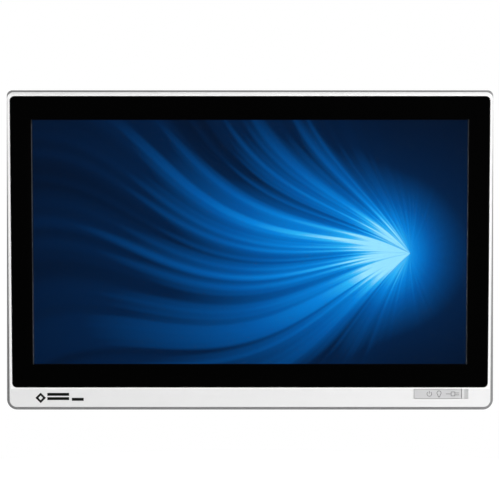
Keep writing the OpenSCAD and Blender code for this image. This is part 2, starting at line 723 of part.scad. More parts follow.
// Openings in the bracket, as [centre, width, depth]
port_openings = concat([[dc_x, 9.4, 11.2], [hdmi_x, 15, 6.2], [display_x, 17, 6.2]],
                       [for (x = usb_xs) [x, 13.6, 15.6]], [for (x = lan_xs) [x, 16, 13.6]],
                       [for (x = audio_xs) [x, 8, 8]]);

module io_bracket() color("silver") difference() {
    half = bay_x - 0.2;
    z0 = wall_z - 1;
    z1 = wall_z + 4;
    union() {
        box(-half, half, bay_floor - 1.8, -2.7, wall_z, wall_z + sheet_t);
        box(-half, half, -2.7 - sheet_t, -2.7, wall_z, wall_z + 2);
    }
    for (p = port_openings) translate([p[0], y_parts, 0])
        box(-p[1]/2 - 0.2, p[1]/2 + 0.2, -0.2, p[2] + 0.2, z0, z1);
    translate([serial_x, y_parts, 0]) box(-10, 10, 1.5, 11, z0, z1);
    for (x = serial_screw_xs) rod_z(x, serial_y, z0, z1, 1.6);
}

module dc_jack() color("black") {
    difference() {
        box(dc_x - 4.7, dc_x + 4.7, y_parts, y_parts + 11.2, port_z, port_z + 14);
        rod_z(dc_x, y_parts + 6, port_z - 1, port_z + 10, 3.2);
    }
    rod_z(dc_x, y_parts + 6, port_z + 0.8, port_z + 11, 1.25);
}

module hdmi_port() color("silver") {
    shell(hdmi_x, 15, 6.2, 12);
    box(hdmi_x - 5.5, hdmi_x + 5.5, y_parts + 2.4, y_parts + 3.8, port_z + 1, port_z + 10);
}

module display_port() color("silver") {
    shell(display_x, 17, 6.2, 12);
    box(display_x - 6.5, display_x + 6.5, y_parts + 2.4, y_parts + 3.8, port_z + 1, port_z + 10);
    box(display_x - 8.3, display_x - 5.8, y_parts + 0.2, y_parts + 1.9, port_z, port_z + 10);
}

// Two double USB sockets, each with two mouths and two tongues
module rear_usb_ports() color("silver") for (x = usb_xs) {
    difference() {
        box(x - 6.8, x + 6.8, y_parts, y_parts + 15.6, port_z, port_z + 17);
        for (y = [0.6, 8.6]) box(x - 6.3, x + 6.3, y_parts + y, y_parts + y + 5.4, port_z - 1, port_z + 13);
    }
    for (y = [2.9, 10.9]) box(x - 5.6, x + 5.6, y_parts + y, y_parts + y + 1.8, port_z + 1.5, port_z + 14);
}

module lan_ports() color("silver") for (x = lan_xs) difference() {
    box(x - 8, x + 8, y_parts, y_parts + 13.6, port_z, port_z + 21);
    box(x - 6, x + 6, y_parts + 3.2, y_parts + 10.4, port_z - 1, port_z + 14);
    box(x - 3, x + 3, y_parts + 1.4, y_parts + 4, port_z - 1, port_z + 9);
}

serial_y = y_parts + 6.2;
serial_screw_xs = [serial_x - 12.5, serial_x + 12.5];

module serial_port() color("silver") {
    pin_pitch = 2.76;
    difference() {
        union() {
            box(serial_x - 15.4, serial_x + 15.4, y_parts, y_parts + 12.4, wall_z + 1, wall_z + 13);
            d_shell(8.9, 4.2, port_z - 5, wall_z + 2);
        }
        d_shell(8.4, 3.7, port_z - 6, port_z + 1.2);
        for (x = serial_screw_xs) rod_z(x, serial_y, wall_z, wall_z + 8, 1.5);
    }
    for (i = [-2:2]) rod_z(serial_x + i*pin_pitch, serial_y + 1.4, port_z - 3.5, port_z + 2, 0.5);
    for (i = [-1.5:1.5]) rod_z(serial_x + i*pin_pitch, serial_y - 1.4, port_z - 3.5, port_z + 2, 0.5);
}

// The D-shaped mouth, w and h being half its width and height
module d_shell(w, h, z0, z1)
    translate([serial_x, serial_y, z0]) linear_extrude(z1 - z0)
        polygon([[-w + 1.2, -h], [w - 1.2, -h], [w, h], [-w, h]]);

module audio_jacks() color("black") for (x = audio_xs) difference() {
    union() {
        box(x - 4, x + 4, y_parts, y_parts + 8, port_z + 0.5, port_z + 13);
        rod_z(x, y_parts + 4, port_z, port_z + 1, 3.2);
    }
    rod_z(x, y_parts + 4, port_z - 1, port_z + 11, 1.8);
}

// ---------- internal cables ----------

// Flat cable from the main board, through the chassis plate, down to the timing board
module display_cable() color("whitesmoke") translate([-68, 0, 0]) {
    w = 14;
    y_low = y_card + 0.7;
    y_high = y_parts + 3.5;
    box(0, w, y_high - 0.5, y_high, 30, 54);
    box(0, w, y_low, y_high, 53.5, 54);
    box(0, w, y_low, y_low + 0.4, -90, 54);
    box(0, w, y_card, y_low + 0.4, -104, -90);
}

// Flat cable from the main board to the drive's socket
module drive_cable() color("whitesmoke") {
    x0 = drive_x - 16;
    x1 = drive_x + 10;
    y = y_parts + 4;
    box(x0, x1, -18, -16, drive_z - 58, drive_z - 52);
    box(x0, x1, y, y + 0.6, drive_z - 76, drive_z - 58);
    box(96, x1, y, y + 0.6, drive_z - 76, drive_z - 68);
    box(86, 97, y, y + 0.6, drive_z - 77, drive_z - 69);
}

module front_io_cable() color("dimgray") {
    y = io_board_y + 2.4;
    rod_x(128, 190, y, -151.8, 1.2);
    rod_z(128, y, -151.8, -108, 1.2);
    rod_x(99, 128, y, -108, 1.2);
}

front_bezel();
mid_frame();
cover_glass();
black_border();
touch_sensor();
glass_tape();
lcd_frame();
lcd_panel();
lcd_carrier();
light_guide();
led_bar();
lcd_tray();
timing_board();
touch_board();
name_mark();
access_door();
door_pin();
control_pocket();
power_button();
backlight_button();
front_usb_port();
front_io_board();
tact_switches();
rear_cover();
cable_cover();
drive_hatch();
hatch_screws();
case_screws();
chassis_plate();
chassis_screws();
vesa_bridge();
io_bracket();
mainboard();
board_parts();
board_standoffs();
cold_plate();
heat_pipes();
fin_stack();
blower_housing();
blower_bearing();
blower_rotor();
memory_sockets();
memory_modules();
wifi_card();
coin_cell();
drive_bracket();
solid_state_drive();
left_speaker();
right_speaker();
antennas();
dc_jack();
hdmi_port();
display_port();
rear_usb_ports();
lan_ports();
serial_port();
audio_jacks();
display_cable();
drive_cable();
front_io_cable();
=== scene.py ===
"""An all-in-one touch panel computer: materials, prints and small fittings on its CAD frame."""

import json
import math

import bmesh
import bpy
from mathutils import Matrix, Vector

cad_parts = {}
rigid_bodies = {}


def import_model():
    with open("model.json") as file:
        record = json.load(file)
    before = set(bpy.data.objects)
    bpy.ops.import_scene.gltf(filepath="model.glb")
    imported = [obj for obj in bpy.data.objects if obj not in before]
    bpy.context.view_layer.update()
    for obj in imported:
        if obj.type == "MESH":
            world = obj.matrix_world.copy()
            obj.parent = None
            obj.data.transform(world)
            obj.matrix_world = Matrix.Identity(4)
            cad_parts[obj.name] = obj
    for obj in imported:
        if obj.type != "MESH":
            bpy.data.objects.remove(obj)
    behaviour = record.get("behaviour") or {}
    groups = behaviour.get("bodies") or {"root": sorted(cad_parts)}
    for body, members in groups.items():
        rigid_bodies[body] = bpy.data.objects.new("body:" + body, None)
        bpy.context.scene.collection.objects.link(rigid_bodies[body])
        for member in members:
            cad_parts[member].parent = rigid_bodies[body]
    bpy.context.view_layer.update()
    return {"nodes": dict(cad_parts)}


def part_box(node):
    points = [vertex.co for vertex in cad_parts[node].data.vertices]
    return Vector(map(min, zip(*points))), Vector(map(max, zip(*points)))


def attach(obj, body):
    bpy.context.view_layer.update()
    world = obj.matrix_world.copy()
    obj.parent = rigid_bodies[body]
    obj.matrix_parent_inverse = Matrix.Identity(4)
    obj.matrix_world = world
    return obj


MM = 0.001

for stray in list(bpy.data.objects):
    bpy.data.objects.remove(stray)

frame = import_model()
nodes = frame["nodes"]


# ---------- places taken from the frame ----------

def low(node):
    return Vector(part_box(node)[0])


def high(node):
    return Vector(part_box(node)[1])


def middle(node):
    return (low(node) + high(node)) / 2


FACE_Y = low("front_bezel").y
GLASS = middle("cover_glass")
GLASS_W = high("cover_glass").x - low("cover_glass").x
GLASS_H = high("cover_glass").z - low("cover_glass").z
PICTURE = middle("lcd_panel")
PICTURE_W = 476.64 * MM
PICTURE_H = PICTURE_W * 9 / 16
DOOR_Z = middle("access_door").z
DOOR_END = high("access_door").x


# ---------- colours ----------

def shown(red, green, blue):
    """The linear colour of what a screen shows as these 0 to 255 values."""
    def linear(value):
        value /= 255
        return value / 12.92 if value < 0.04045 else ((value + 0.055) / 1.055) ** 2.4
    return linear(red), linear(green), linear(blue)


def grey(level):
    return level, level, level


def shade(colour, amount):
    return tuple(channel * amount for channel in colour)


# ---------- node trees ----------

class Nodes:
    """Short calls that add nodes to a tree. Sizes are in metres."""

    def __init__(self, tree, coordinates):
        self.tree = tree
        self.place = tree.nodes.new("ShaderNodeTexCoord").outputs[coordinates]

    def put(self, value, socket):
        if isinstance(value, bpy.types.NodeSocket):
            self.tree.links.new(value, socket)
        else:
            socket.default_value = value

    def math(self, operation, *values):
        node = self.tree.nodes.new("ShaderNodeMath")
        node.operation = operation
        for value, socket in zip(values, node.inputs):
            self.put(value, socket)
        return node.outputs[0]

    def plus(self, first, second):
        return self.math("ADD", first, second)

    def minus(self, first, second):
        return self.math("SUBTRACT", first, second)

    def times(self, first, second):
        return self.math("MULTIPLY", first, second)

    def distance(self, first, second):
        """The length of a pair of offsets."""
        return self.math("SQRT", self.plus(self.times(first, first), self.times(second, second)))

    def off(self, value, centre):
        """How far the value is from a centre, either way."""
        return self.math("ABSOLUTE", self.minus(value, centre))

    def weigh(self, first, share, second):
        """This share of the first value and the rest of the second."""
        return self.plus(self.times(first, share), self.times(second, 1 - share))

    def between(self, value, low_in, high_in, low_out, high_out):
        """The value carried from one range to another, and held at its ends."""
        node = self.tree.nodes.new("ShaderNodeMapRange")
        names = ("Value", "From Min", "From Max", "To Min", "To Max")
        for name, setting in zip(names, (value, low_in, high_in, low_out, high_out)):
            self.put(setting, node.inputs[name])
        return node.outputs["Result"]

    def noise(self, size, detail=2.0, stretch=(1, 1, 1)):
        """Noise with features of this size, drawn out along an axis where stretch is above 1."""
        mapping = self.tree.nodes.new("ShaderNodeMapping")
        mapping.inputs["Scale"].default_value = [1 / s for s in stretch]
        self.put(self.place, mapping.inputs["Vector"])
        node = self.tree.nodes.new("ShaderNodeTexNoise")
        node.inputs["Scale"].default_value = 1 / size
        node.inputs["Detail"].default_value = detail
        self.put(mapping.outputs["Vector"], node.inputs["Vector"])
        return node.outputs["Fac"]

    def cells(self, size, output="Distance", feature="F1"):
        node = self.tree.nodes.new("ShaderNodeTexVoronoi")
        node.feature = feature
        node.inputs["Scale"].default_value = 1 / size
        self.put(self.place, node.inputs["Vector"])
        return node.outputs[output]

    def axes(self):
        node = self.tree.nodes.new("ShaderNodeSeparateXYZ")
        self.put(self.place, node.inputs[0])
        return node.outputs

    def ramp(self, factor, stops):
        node = self.tree.nodes.new("ShaderNodeValToRGB")
        ramp = node.color_ramp
        while len(ramp.elements) < len(stops):
            ramp.elements.new(1.0)
        for element, (at, colour) in zip(ramp.elements, stops):
            element.position = at
            element.color = (*colour, 1)
        self.put(factor, node.inputs["Fac"])
        return node.outputs["Color"]

    def blend(self, factor, first, second):
        """The first colour where the factor is 0 and the second where it is 1."""
        node = self.tree.nodes.new("ShaderNodeMix")
        node.data_type = "RGBA"
        self.put(factor, node.inputs["Factor"])
        colours = [socket for socket in node.inputs if socket.type == "RGBA"]
        for value, socket in zip((first, second), colours):
            self.put(value if isinstance(value, bpy.types.NodeSocket) else (*value, 1), socket)
        return next(socket for socket in node.outputs if socket.type == "RGBA")


class Look(Nodes):
    """A material, put together from short calls."""

    def __init__(self, name, roughness, metallic=0.0):
        self.mat = bpy.data.materials.new(name)
        self.mat.use_nodes = True
        super().__init__(self.mat.node_tree, "Object")
        self.shader = self.tree.nodes["Principled BSDF"].inputs
        self.shader["Roughness"].default_value = roughness
        self.shader["Metallic"].default_value = metallic

    def colour(self, value):
        self.put(value, self.shader["Base Color"])

    def tint(self, factor, first, second):
        self.colour(self.blend(factor, first, second))

    def roughness(self, factor, low_value, high_value):
        """Roughness that follows a noise, whose values lie mostly between 0.3 and 0.7."""
        self.put(self.between(factor, 0.3, 0.7, low_value, high_value), self.shader["Roughness"])

    def bump(self, height, depth):
        node = self.tree.nodes.new("ShaderNodeBump")
        node.inputs["Strength"].default_value = 1.0
        node.inputs["Distance"].default_value = depth
        self.put(height, node.inputs["Height"])
        self.put(node.outputs["Normal"], self.shader["Normal"])


# ---------- camera and light ----------

CAMERA_DISTANCE = 1.25
CAMERA_ELEVATION = math.radians(2.55)
CAMERA_LENS = 82.1
CAMERA_SENSOR = 36
CAMERA_AIM = Vector((0, FACE_Y, 1.2 * MM))

TENT_BRIGHT_SIDE = Vector((0.62, -0.2, 0.76))
TENT_DARKEST, TENT_BRIGHTEST = 0.22, 0.70
TENT_IN_REFLECTIONS = 0.05

FLOOR_Z = -0.9
FLOOR_RADIUS = 3.0
FLOOR_GLOW = 0.6
FLOOR_GLOW_START, FLOOR_GLOW_END = 0.7, 2.3


def add_camera():
    data = bpy.data.cameras.new("camera")
    data.lens = CAMERA_LENS
    data.sensor_width = CAMERA_SENSOR
    camera = bpy.data.objects.new("camera", data)
    back = Vector((0, -math.cos(CAMERA_ELEVATION), math.sin(CAMERA_ELEVATION)))
    camera.location = CAMERA_AIM + back * CAMERA_DISTANCE
    camera.rotation_euler = (-back).to_track_quat("-Z", "Y").to_euler()
    bpy.context.collection.objects.link(camera)
    bpy.context.scene.camera = camera


def add_softbox(name, place, aim, width, height, watts):
    data = bpy.data.lights.new(name, "AREA")
    data.shape = "RECTANGLE"
    data.size = width
    data.size_y = height
    data.energy = watts
    lamp = bpy.data.objects.new(name, data)
    lamp.location = place
    lamp.rotation_euler = (Vector(aim) - Vector(place)).to_track_quat("-Z", "Y").to_euler()
    bpy.context.collection.objects.link(lamp)


def add_lights():
    add_softbox("key_right", (1.25, -0.95, 0.35), aim=(0.1, 0, 0), width=0.5, height=0.9, watts=11.0)
    add_softbox("top", (0, -0.7, 1.5), aim=(0, 0, 0), width=1.6, height=0.6, watts=5.5)
    add_softbox("rear_key", (0.9, 0.9, 1.3), aim=(0, 0, 0), width=0.9, height=0.7, watts=42.0)
    add_softbox("rear_side", (-1.7, 1.0, 0.3), aim=(0, 0, 0), width=0.5, height=1.2, watts=14.0)
    add_softbox("under", (0.3, 1.1, -0.8), aim=(0, 0, -0.1), width=1.0, height=0.6, watts=5.0)


def add_world():
    """A white studio tent: full white to the camera, an ambient light that is brighter from the upper
    right, and dim in mirror-like reflections and through the glass."""
    world = bpy.data.worlds.new("studio")
    bpy.context.scene.world = world
    world.use_nodes = True
    sky = Nodes(world.node_tree, "Generated")
    lean = sky.tree.nodes.new("ShaderNodeVectorMath")
    lean.operation = "DOT_PRODUCT"
    lean.inputs[1].default_value = TENT_BRIGHT_SIDE.normalized()
    sky.put(sky.place, lean.inputs[0])
    ambient = sky.between(lean.outputs["Value"], -1, 1, TENT_DARKEST, TENT_BRIGHTEST)
    path = sky.tree.nodes.new("ShaderNodeLightPath").outputs
    polished = sky.math("MAXIMUM", path["Is Singular Ray"], path["Is Transmission Ray"])
    dimmed = sky.times(ambient, sky.between(polished, 0, 1, 1, TENT_IN_REFLECTIONS))
    background = sky.tree.nodes["Background"].inputs
    sky.put(sky.math("MAXIMUM", dimmed, path["Is Camera Ray"]), background["Strength"])
    sky.put((1, 1, 1, 1), background["Color"])


def add_floor():
    """A pale floor that glows more and more towards its rim, so that it runs into the white tent."""
    mesh = bpy.data.meshes.new("floor")
    shape = bmesh.new()
    bmesh.ops.create_circle(shape, cap_ends=True, segments=96, radius=FLOOR_RADIUS)
    shape.to_mesh(mesh)
    shape.free()
    floor = bpy.data.objects.new("floor", mesh)
    floor.location.z = FLOOR_Z
    bpy.context.collection.objects.link(floor)
    look = Look("pale_floor", 0.9)
    look.tint(look.noise(60 * MM), grey(0.93), grey(0.96))
    x, y, _ = look.axes()
    glow = look.between(look.distance(x, y), FLOOR_GLOW_START, FLOOR_GLOW_END, 0, FLOOR_GLOW)
    look.put((1, 1, 1, 1), look.shader["Emission Color"])
    look.put(glow, look.shader["Emission Strength"])
    floor.data.materials.append(look.mat)
    floor.visible_glossy = False
    floor.visible_transmission = False


# ---------- materials ----------

def moulded(name, colour, roughness=0.45, grain=0.6 * MM):
    """Moulded plastic: a fine spark-eroded grain and slightly uneven colour."""
    look = Look(name, roughness)
    fine = look.noise(grain, 3)
    broad = look.noise(45 * MM, 2)
    look.tint(look.weigh(fine, 0.4, broad), shade(colour, 0.95), shade(colour, 1.05))
    look.roughness(fine, roughness - 0.06, roughness + 0.08)
    look.bump(fine, 0.01 * MM)
    return look.mat


def metal(name, colour, roughness=0.3, stretch=(30, 1, 1)):
    """Drawn or brushed metal: fine scratches along one axis."""
    look = Look(name, roughness, metallic=1.0)
    scratch = look.noise(0.3 * MM, 3, stretch)
    look.tint(scratch, shade(colour, 0.86), shade(colour, 1.08))
    look.roughness(scratch, roughness - 0.07, roughness + 0.12)
    look.bump(scratch, 0.004 * MM)
    return look.mat


def galvanised():
    """Zinc-coated sheet with its spangle."""
    look = Look("galvanised_sheet", 0.4, metallic=0.9)
    flake = look.tree.nodes.new("ShaderNodeSeparateColor")
    look.put(look.cells(7 * MM, "Color"), flake.inputs[0])
    look.tint(flake.outputs[0], (0.50, 0.52, 0.54), (0.68, 0.69, 0.70))
    look.roughness(flake.outputs[1], 0.30, 0.48)
    look.bump(look.noise(0.8 * MM, 3), 0.004 * MM)
    return look.mat


# Sizes of two painted marks on the bezel: the painted highlight along the glass's edge, and the painted
# shade in the finger recess beside the door
PAINTED_HIGHLIGHT_WIDTH, PAINTED_HIGHLIGHT_FADE = 1.3 * MM, 0.8 * MM
SCOOP_LENGTH, SCOOP_FADE = 8.2 * MM, 0.6 * MM
SCOOP_HALF_HEIGHT = 5.5 * MM


def white_bezel():
    """Satin white plastic with a painted highlight along the edge round the glass and painted shade in the
    finger recess beside the door, darker towards its right end.
    """
    look = Look("white_satin_plastic", 0.38)
    look.put(0.15, look.shader["Specular IOR Level"])
    fine = look.noise(0.5 * MM, 3)
    broad = look.noise(90 * MM, 1)
    body = look.blend(look.weigh(fine, 0.3, broad), grey(0.755), grey(0.785))
    x, _, z = look.axes()
    past_x = look.minus(look.off(x, GLASS.x), GLASS_W / 2)
    past_z = look.minus(look.off(z, GLASS.z), GLASS_H / 2)
    past_glass = look.math("MAXIMUM", past_x, past_z)
    # Painted highlight: the bezel is painted lighter within this band round the glass
    rim = look.between(past_glass, PAINTED_HIGHLIGHT_WIDTH, PAINTED_HIGHLIGHT_WIDTH + PAINTED_HIGHLIGHT_FADE, 1, 0)
    with_painted_highlight = look.blend(rim, body, grey(0.95))
    # Painted shade: the finger recess beside the door is painted greyer, and darker towards its right end
    past_door = look.minus(x, DOOR_END)
    before_end = look.between(past_door, SCOOP_LENGTH - SCOOP_FADE, SCOOP_LENGTH, 1, 0)
    after_door = look.math("GREATER_THAN", past_door, 0)
    level = look.math("LESS_THAN", look.off(z, DOOR_Z), SCOOP_HALF_HEIGHT)
    recess_shade_mask = look.times(look.times(before_end, after_door), level)
    recess_shade_gradient = look.between(past_door, 3 * MM, 6 * MM, 0, 1)
    look.colour(look.blend(recess_shade_mask, with_painted_highlight, look.blend(recess_shade_gradient, grey(0.69), grey(0.60))))
    look.roughness(fine, 0.33, 0.42)
    look.bump(fine, 0.006 * MM)
    return look.mat


def clear_glass():
    """Polished hardened glass."""
    look = Look("cover_glass", 0.0)
    look.put(1.0, look.shader["Transmission Weight"])
    look.put(1.5, look.shader["IOR"])
    look.put((0.98, 0.99, 1.0, 1), look.shader["Base Color"])
    return look.mat


def bonded_sensor():
    """The touch sensor is bonded to the glass, so only its faint electrode tint shows."""
    look = Look("sensor_film", 0.2)
    look.tint(look.noise(3 * MM), (0.010, 0.012, 0.014), (0.016, 0.018, 0.020))
    look.put(0.02, look.shader["Alpha"])
    return look.mat


def black_ink():
    """The black print behind the glass."""
    look = Look("black_glass_ink", 0.35)
    fine = look.noise(0.4 * MM, 2)
    look.tint(fine, (0.0008, 0.0008, 0.0009), (0.0014, 0.0014, 0.0016))
    look.roughness(fine, 0.3, 0.4)
    return look.mat


GLOW_X = PICTURE.x + 176 * MM
GLOW_Z = PICTURE.z - 12 * MM
FAN_BEND = 0.13                # how far the ribbons sway, in radians
FAN_SWAY = 12                  # radians of the sway per metre of reach
FAN_FADE = 5.2                 # how fast the ribbons fade with their reach
FAN_NARROWING = 2.6            # how closely the ribbons keep to the left
FAN_STRENGTH = 1.15
SCREEN_STRENGTH = 1.15


def ribbons(look, fan, count, seed, dark, bright):
    """Soft bands of light across the fan's angle, from noise that is dark here and bright there."""
    node = look.tree.nodes.new("ShaderNodeTexNoise")
    node.noise_dimensions = "1D"
    node.inputs["Scale"].default_value = 1
    node.inputs["Detail"].default_value = 1
    look.put(look.math("MULTIPLY_ADD", fan, count, seed), node.inputs["W"])
    return look.between(node.outputs["Fac"], dark, bright, 0, 1)


def halo(look, left, radius_x, radius_z, peak):
    """A soft oval of light, this far to the left of the glow's source."""
    x, _, z = look.axes()
    across = look.math("DIVIDE", look.minus(x, GLOW_X - left), radius_x)
    up = look.math("DIVIDE", look.minus(z, GLOW_Z), radius_z)
    square = look.plus(look.times(across, across), look.times(up, up))
    return look.times(look.math("EXPONENT", look.times(square, -1)), peak)


def picture_light(look):
    """Curved ribbons that fan out to the left from a glow, and the glow itself."""
    x, _, z = look.axes()
    across = look.minus(x, GLOW_X)
    up = look.minus(z, GLOW_Z)
    reach = look.distance(across, up)
    angle = look.math("ARCTAN2", up, look.times(across, -1))
    sway = look.times(look.math("SINE", look.times(reach, FAN_SWAY)), FAN_BEND)
    fan = look.plus(angle, sway)
    wide = ribbons(look, fan, count=4.6, seed=3.1, dark=0.34, bright=0.70)
    narrow = ribbons(look, fan, count=17.0, seed=8.4, dark=0.40, bright=0.72)
    leftward = look.math("MAXIMUM", look.math("COSINE", angle), 0)
    narrowing = look.math("POWER", leftward, FAN_NARROWING)
    fade = look.times(look.math("EXPONENT", look.times(reach, -FAN_FADE)), FAN_STRENGTH)
    beams = look.times(look.times(look.weigh(narrow, 0.35, wide), narrowing), fade)
    core = halo(look, left=22 * MM, radius_x=40 * MM, radius_z=46 * MM, peak=0.55)
    streaked_core = look.times(core, look.math("MULTIPLY_ADD", narrow, 0.4, 0.8))
    wash = halo(look, left=75 * MM, radius_x=130 * MM, radius_z=90 * MM, peak=0.26)
    veil = halo(look, left=120 * MM, radius_x=330 * MM, radius_z=190 * MM, peak=0.11)
    return look.plus(look.plus(streaked_core, wash), look.plus(beams, veil))


def screen():
    """The lit display: a generic picture of light on deep blue, with the panel dark round it."""
    look = Look("lit_display", 0.25)
    look.put((0.0006, 0.0007, 0.001, 1), look.shader["Base Color"])
    look.put(0.0, look.shader["Specular IOR Level"])
    picture = look.ramp(picture_light(look), [
        (0.0, shown(0, 6, 20)),
        (0.16, shown(0, 30, 66)),
        (0.38, shown(0, 86, 162)),
        (0.60, shown(4, 128, 216)),
        (0.80, shown(40, 178, 246)),
        (1.0, shown(150, 226, 255)),
    ])
    x, _, z = look.axes()
    inside_x = look.math("LESS_THAN", look.off(x, PICTURE.x), PICTURE_W / 2)
    inside_z = look.math("LESS_THAN", look.off(z, PICTURE.z), PICTURE_H / 2)
    lit = look.blend(look.times(inside_x, inside_z), grey(0), picture)
    look.put(lit, look.shader["Emission Color"])
    look.put(SCREEN_STRENGTH, look.shader["Emission Strength"])
    return look.mat


def circuit_board():
    """Green solder resist over copper tracks."""
    look = Look("circuit_board", 0.35)
    line = look.between(look.cells(2.6 * MM, feature="DISTANCE_TO_EDGE"), 0.04, 0.10, 1, 0)
    look.tint(line, (0.012, 0.085, 0.035), (0.03, 0.17, 0.07))
    look.roughness(look.noise(3 * MM), 0.28, 0.42)
    look.bump(line, 0.03 * MM)
    return look.mat


def film():
    """Thin printed circuit film with a copper-coloured pattern."""
    look = Look("antenna_film", 0.4)
    bands = look.between(look.cells(5 * MM, feature="DISTANCE_TO_EDGE"), 0.1, 0.14, 0, 1)
    look.tint(bands, (0.05, 0.04, 0.03), (0.55, 0.30, 0.12))
    return look.mat


def diffuser():
    """White diffusing film over the light guide's dots."""
    look = Look("diffuser", 0.5)
    look.tint(look.cells(1.2 * MM), (0.86, 0.88, 0.90), (0.70, 0.72, 0.74))
    look.bump(look.noise(0.3 * MM), 0.003 * MM)
    return look.mat


def foam():
    """Black foam tape with its pores."""
    look = Look("foam_tape", 0.95)
    pores = look.cells(0.5 * MM)
    look.tint(pores, grey(0.012), (0.035, 0.035, 0.036))
    look.bump(pores, 0.05 * MM)
    return look.mat


def led_strip():
    """White circuit strip with yellow phosphor packages above it."""
    look = Look("led_strip", 0.4)
    above_foot = look.minus(look.axes()["Z"], low("led_bar").z)
    packages = look.between(above_foot, 0.7 * MM, 0.9 * MM, 0, 1)
    look.tint(packages, (0.75, 0.75, 0.72), (0.80, 0.62, 0.12))
    look.bump(look.noise(0.6 * MM), 0.01 * MM)
    return look.mat


def cable_sheath():
    """Black rubbery sheath, faintly drawn along its length."""
    look = Look("cable_sheath", 0.55)
    fine = look.noise(0.3 * MM, 2, (1, 1, 6))
    look.tint(fine, (0.018, 0.018, 0.0198), (0.022, 0.022, 0.0242))
    look.roughness(fine, 0.48, 0.62)
    look.bump(fine, 0.01 * MM)
    return look.mat


def flat_cable():
    """White ribbon with fine conductors showing through."""
    look = Look("flat_cable", 0.4)
    wave = look.tree.nodes.new("ShaderNodeTexWave")
    wave.bands_direction = "X"
    wave.inputs["Scale"].default_value = 1 / (6.4 * MM)
    look.put(look.place, wave.inputs["Vector"])
    look.tint(wave.outputs["Fac"], (0.62, 0.63, 0.64), (0.80, 0.80, 0.78))
    look.bump(wave.outputs["Fac"], 0.05 * MM)
    return look.mat


def printed(name, colour, gloss=0.5):
    """Screen-printed ink, slightly raised."""
    look = Look(name, 0.4)
    look.put(gloss, look.shader["Specular IOR Level"])
    fine = look.noise(0.25 * MM, 2)
    look.tint(fine, shade(colour, 0.85), shade(colour, 1.15))
    look.roughness(fine, 0.34, 0.48)
    look.bump(fine, 0.005 * MM)
    return look.mat


def rear_shell():
    """Mid-grey shell plastic with a coarser leather-like spark grain."""
    look = Look("grey_shell_plastic", 0.5)
    pits = look.cells(0.9 * MM)
    fine = look.noise(0.35 * MM, 3)
    broad = look.noise(70 * MM, 2)
    look.tint(look.weigh(pits, 0.3, broad), (0.155, 0.16, 0.17), (0.19, 0.196, 0.206))
    look.roughness(fine, 0.42, 0.56)
    look.bump(look.plus(pits, fine), 0.03 * MM)
    return look.mat


def label_paper():
    """Matt silver label stock."""
    look = Look("silver_label", 0.5, metallic=0.2)
    fine = look.noise(0.3 * MM, 2, (12, 1, 1))
    look.tint(fine, (0.36, 0.365, 0.37), (0.42, 0.425, 0.43))
    look.roughness(fine, 0.45, 0.56)
    return look.mat


steel = metal("bright_steel", (0.72, 0.73, 0.74))
nickel = metal("nickel_plate", (0.70, 0.69, 0.66), 0.26, stretch=(1, 1, 1))
black_oxide = metal("black_oxide", (0.09, 0.09, 0.10), 0.42, stretch=(1, 1, 1))
aluminium = metal("aluminium_fin", (0.80, 0.81, 0.82), 0.32, stretch=(1, 1, 20))
brass = metal("turned_brass", (0.80, 0.62, 0.30), 0.25, stretch=(12, 1, 12))
gold = metal("gold_contact", (0.95, 0.70, 0.30), 0.22, stretch=(1, 1, 6))
drive_case = metal("anodised_case", (0.16, 0.17, 0.19), 0.4, stretch=(20, 1, 1))
copper = metal("copper", (0.78, 0.40, 0.27), 0.28)
sheet = galvanised()
shell = rear_shell()
board = circuit_board()
ribbon = flat_cable()
black_plastic = moulded("black_moulding", (0.016, 0.016, 0.017), 0.5)
black_package = moulded("chip_package", (0.022, 0.022, 0.024), 0.42, grain=0.25 * MM)
white_plastic = moulded("white_moulding", (0.72, 0.72, 0.70), 0.5)
grey_pocket = moulded("grey_moulding", (0.42, 0.42, 0.43), 0.5)
door_plastic = moulded("door_plastic", (0.56, 0.56, 0.565), 0.42)
button_plastic = moulded("button_plastic", (0.13, 0.13, 0.14), 0.42)
ring_plastic = moulded("mid_frame_plastic", (0.225, 0.225, 0.227))
black_print = printed("black_print", grey(0.002), gloss=0.15)
grey_print = printed("grey_print", shown(104, 104, 105))
white_print = printed("white_print", grey(0.75))

FINISHES = {
    "front_bezel": white_bezel(),
    "mid_frame": ring_plastic,
    "cover_glass": clear_glass(),
    "touch_sensor": bonded_sensor(),
    "black_border": black_ink(),
    "glass_tape": foam(),
    "lcd_frame": metal("display_frame_steel", (0.78, 0.79, 0.80), 0.55, stretch=(1, 1, 20)),
    "lcd_panel": screen(),
    "lcd_carrier": white_plastic,
    "light_guide": diffuser(),
    "led_bar": led_strip(),
    "lcd_tray": sheet,
    "timing_board": board,
    "touch_board": board,
    "name_mark": black_print,
    "access_door": door_plastic,
    "door_pin": steel,
    "control_pocket": grey_pocket,
    "power_button": button_plastic,
    "backlight_button": button_plastic,
    "front_usb_port": steel,
    "front_io_board": board,
    "tact_switches": black_package,
    "rear_cover": shell,
    "cable_cover": shell,
    "drive_hatch": shell,
    "hatch_screws": nickel,
    "case_screws": black_oxide,
    "chassis_plate": sheet,
    "chassis_screws": nickel,
    "vesa_bridge": sheet,
    "io_bracket": sheet,
    "mainboard": board,
    "board_parts": black_package,
    "board_standoffs": brass,
    "cold_plate": copper,
    "heat_pipes": copper,
    "fin_stack": aluminium,
    "blower_housing": black_plastic,
    "blower_bearing": brass,
    "blower_rotor": black_plastic,
    "memory_sockets": black_plastic,
    "memory_modules": board,
    "wifi_card": board,
    "coin_cell": nickel,
    "drive_bracket": sheet,
    "solid_state_drive": drive_case,
    "left_speaker": black_plastic,
    "right_speaker": black_plastic,
    "antennas": film(),
    "dc_jack": black_plastic,
    "hdmi_port": steel,
    "display_port": steel,
    "rear_usb_ports": steel,
    "lan_ports": steel,
    "serial_port": steel,
    "audio_jacks": black_plastic,
    "display_cable": ribbon,
    "drive_cable": ribbon,
    "front_io_cable": cable_sheath(),
}

